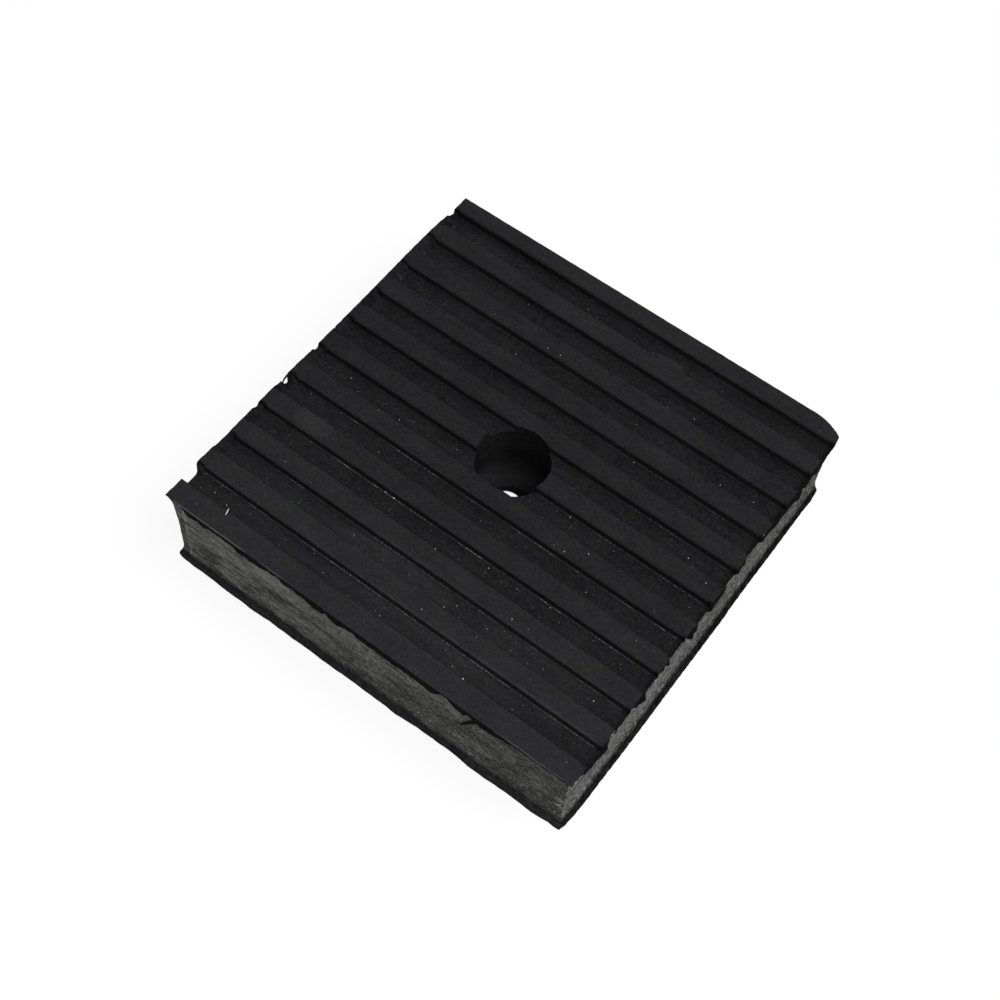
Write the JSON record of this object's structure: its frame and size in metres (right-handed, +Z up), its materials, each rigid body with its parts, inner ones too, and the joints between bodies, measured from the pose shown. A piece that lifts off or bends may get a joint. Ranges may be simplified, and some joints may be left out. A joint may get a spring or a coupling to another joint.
{
  "type": "anti-vibration pad",
  "caption": "Square block of black rubber with straight ribs across its top, hollow cut sides and a bolt hole through the middle, laid under a machine's foot to damp vibration.",
  "frame": {"origin": "middle of the underside, on the axis of the bolt hole", "axes": "+Z up through the ribbed face, X along the ribs, Y across them"},
  "size_m": [0.101, 0.101, 0.025],
  "materials": {
    "rubber": "matt black moulded skin on top, rough grey where the sides are cut"
  },
  "bodies": {
    "root": {"vibration_pad": "rubber"}
  },
  "joints": []
}
